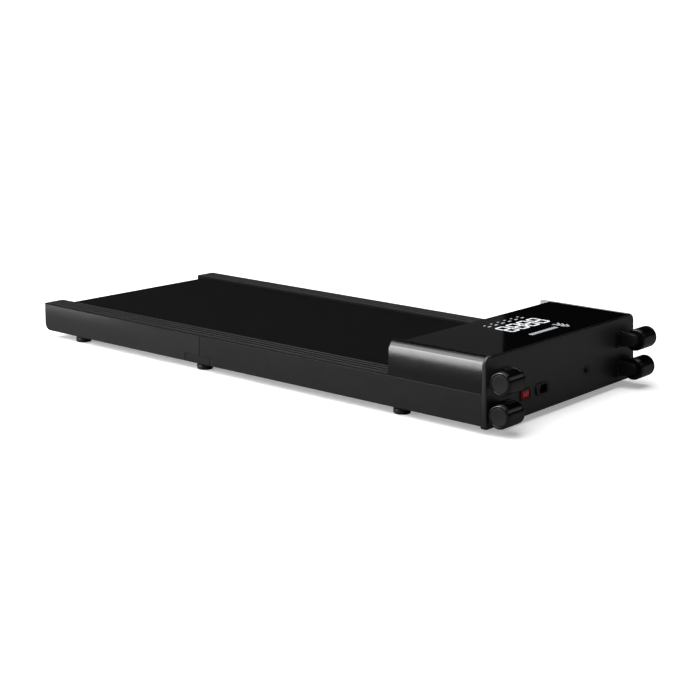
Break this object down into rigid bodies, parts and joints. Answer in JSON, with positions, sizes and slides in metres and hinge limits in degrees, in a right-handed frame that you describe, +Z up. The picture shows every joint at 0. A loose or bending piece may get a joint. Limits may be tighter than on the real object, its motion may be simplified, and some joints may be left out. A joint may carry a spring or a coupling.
{
  "type": "treadmill",
  "caption": "Flat under-desk walking treadmill: endless belt between low ribbed rails, motor hood with display, mains switch and inlet, and transport rollers at the front end.",
  "frame": {"origin": "on the floor under the middle of the machine's outline", "axes": "+X towards the motor hood, +Y to the walker's left, +Z up"},
  "size_m": [1.19, 0.52, 0.139],
  "materials": {
    "frame_steel": "satin black powder coat",
    "bare_steel": "ground and polished",
    "cover_plastic": "satin charcoal",
    "strip_plastic": "ribbed, matt charcoal",
    "belt_rubber": "matt black, fine grain",
    "deck_board": "waxed fibreboard",
    "hood_plastic": "satin-gloss charcoal",
    "display_glass": "polished black",
    "black_rubber": "semi-gloss black",
    "black_plastic": "satin black",
    "roller_plastic": "gloss black",
    "switch_red": "glossy red",
    "board_green": "solder mask",
    "heat_sink": "bare extrusion",
    "motor_shell": "grey enamel"
  },
  "bodies": {
    "chassis": {"left_frame_beam": "frame_steel", "right_frame_beam": "frame_steel", "rear_cross_tube": "frame_steel", "middle_cross_tube": "frame_steel", "front_cross_tube": "frame_steel", "motor_mount_plate": "frame_steel", "walking_deck": "deck_board", "left_deck_cushion": "black_rubber", "right_deck_cushion": "black_rubber", "drive_belt": "black_rubber", "left_rear_foot": "black_rubber", "right_rear_foot": "black_rubber", "left_middle_foot": "black_rubber", "right_middle_foot": "black_rubber", "left_front_foot": "black_rubber", "right_front_foot": "black_rubber", "running_belt": "belt_rubber", "rear_roller_axle": "bare_steel", "front_roller_axle": "bare_steel", "left_rear_roller_bearing": "bare_steel", "right_rear_roller_bearing": "bare_steel", "left_front_roller_bearing": "bare_steel", "right_front_roller_bearing": "bare_steel", "left_tension_bolt": "bare_steel", "right_tension_bolt": "bare_steel", "hood_top_cover": "black_plastic", "belly_pan": "black_plastic", "switch_bezel": "black_plastic", "power_inlet": "black_plastic", "breaker_body": "black_plastic", "left_upper_bracket": "black_plastic", "right_upper_bracket": "black_plastic", "left_lower_bracket": "black_plastic", "right_lower_bracket": "black_plastic", "drive_motor": "motor_shell", "motor_controller": "heat_sink", "led_display_board": "board_green", "left_rear_skirt": "cover_plastic", "right_rear_skirt": "cover_plastic", "left_front_skirt": "cover_plastic", "right_front_skirt": "cover_plastic", "left_skirt_clip": "cover_plastic", "right_skirt_clip": "cover_plastic", "left_tread_strip": "strip_plastic", "right_tread_strip": "strip_plastic", "left_hood_cheek": "hood_plastic", "right_hood_cheek": "hood_plastic", "front_end_cover": "hood_plastic", "display_glass": "display_glass"},
    "front_roller": {"front_roller_drum": "bare_steel", "front_roller_pulley": "black_plastic"},
    "rear_roller": {"rear_roller_drum": "bare_steel"},
    "motor_rotor": {"motor_pulley": "bare_steel"},
    "power_rocker": {"switch_rocker": "switch_red"},
    "reset_button": {"breaker_button": "black_plastic"},
    "left_upper_roller_body": {"left_upper_roller": "roller_plastic"},
    "left_lower_roller_body": {"left_lower_roller": "roller_plastic"},
    "right_upper_roller_body": {"right_upper_roller": "roller_plastic"},
    "right_lower_roller_body": {"right_lower_roller": "roller_plastic"}
  },
  "joints": [
    {"name": "front_roller_spin", "type": "hinge", "parent": "chassis", "child": "front_roller", "pos_m": [0.393, 0, 0.0498], "axis": [0, 1, 0], "continuous": true},
    {"name": "rear_roller_spin", "type": "hinge", "parent": "chassis", "child": "rear_roller", "pos_m": [-0.5663, 0, 0.0518], "axis": [0, 1, 0], "continuous": true},
    {"name": "motor_spin", "type": "hinge", "parent": "chassis", "child": "motor_rotor", "pos_m": [0.4905, 0.2085, 0.078], "axis": [0, 1, 0], "continuous": true},
    {"name": "power_switch_tip", "type": "hinge", "parent": "chassis", "child": "power_rocker", "pos_m": [0.5467, -0.137, 0.052], "axis": [0, 0, -1], "range_deg": [0, 16]},
    {"name": "breaker_reset_press", "type": "slide", "parent": "chassis", "child": "reset_button", "axis": [-1, 0, 0], "range_m": [0, 0.0025], "stiffness_N_per_m": 400},
    {"name": "left_upper_roller_spin", "type": "hinge", "parent": "chassis", "child": "left_upper_roller_body", "pos_m": [0.574, 0.234, 0.0965], "axis": [0, 1, 0], "continuous": true},
    {"name": "left_lower_roller_spin", "type": "hinge", "parent": "chassis", "child": "left_lower_roller_body", "pos_m": [0.574, 0.234, 0.039], "axis": [0, 1, 0], "continuous": true},
    {"name": "right_upper_roller_spin", "type": "hinge", "parent": "chassis", "child": "right_upper_roller_body", "pos_m": [0.574, -0.234, 0.0965], "axis": [0, 1, 0], "continuous": true},
    {"name": "right_lower_roller_spin", "type": "hinge", "parent": "chassis", "child": "right_lower_roller_body", "pos_m": [0.574, -0.234, 0.039], "axis": [0, 1, 0], "continuous": true}
  ],
  "couplings": [
    {"joint": "rear_roller_spin", "follows": "front_roller_spin", "ratio": 1.1053},
    {"joint": "motor_spin", "follows": "front_roller_spin", "ratio": 2}
  ]
}
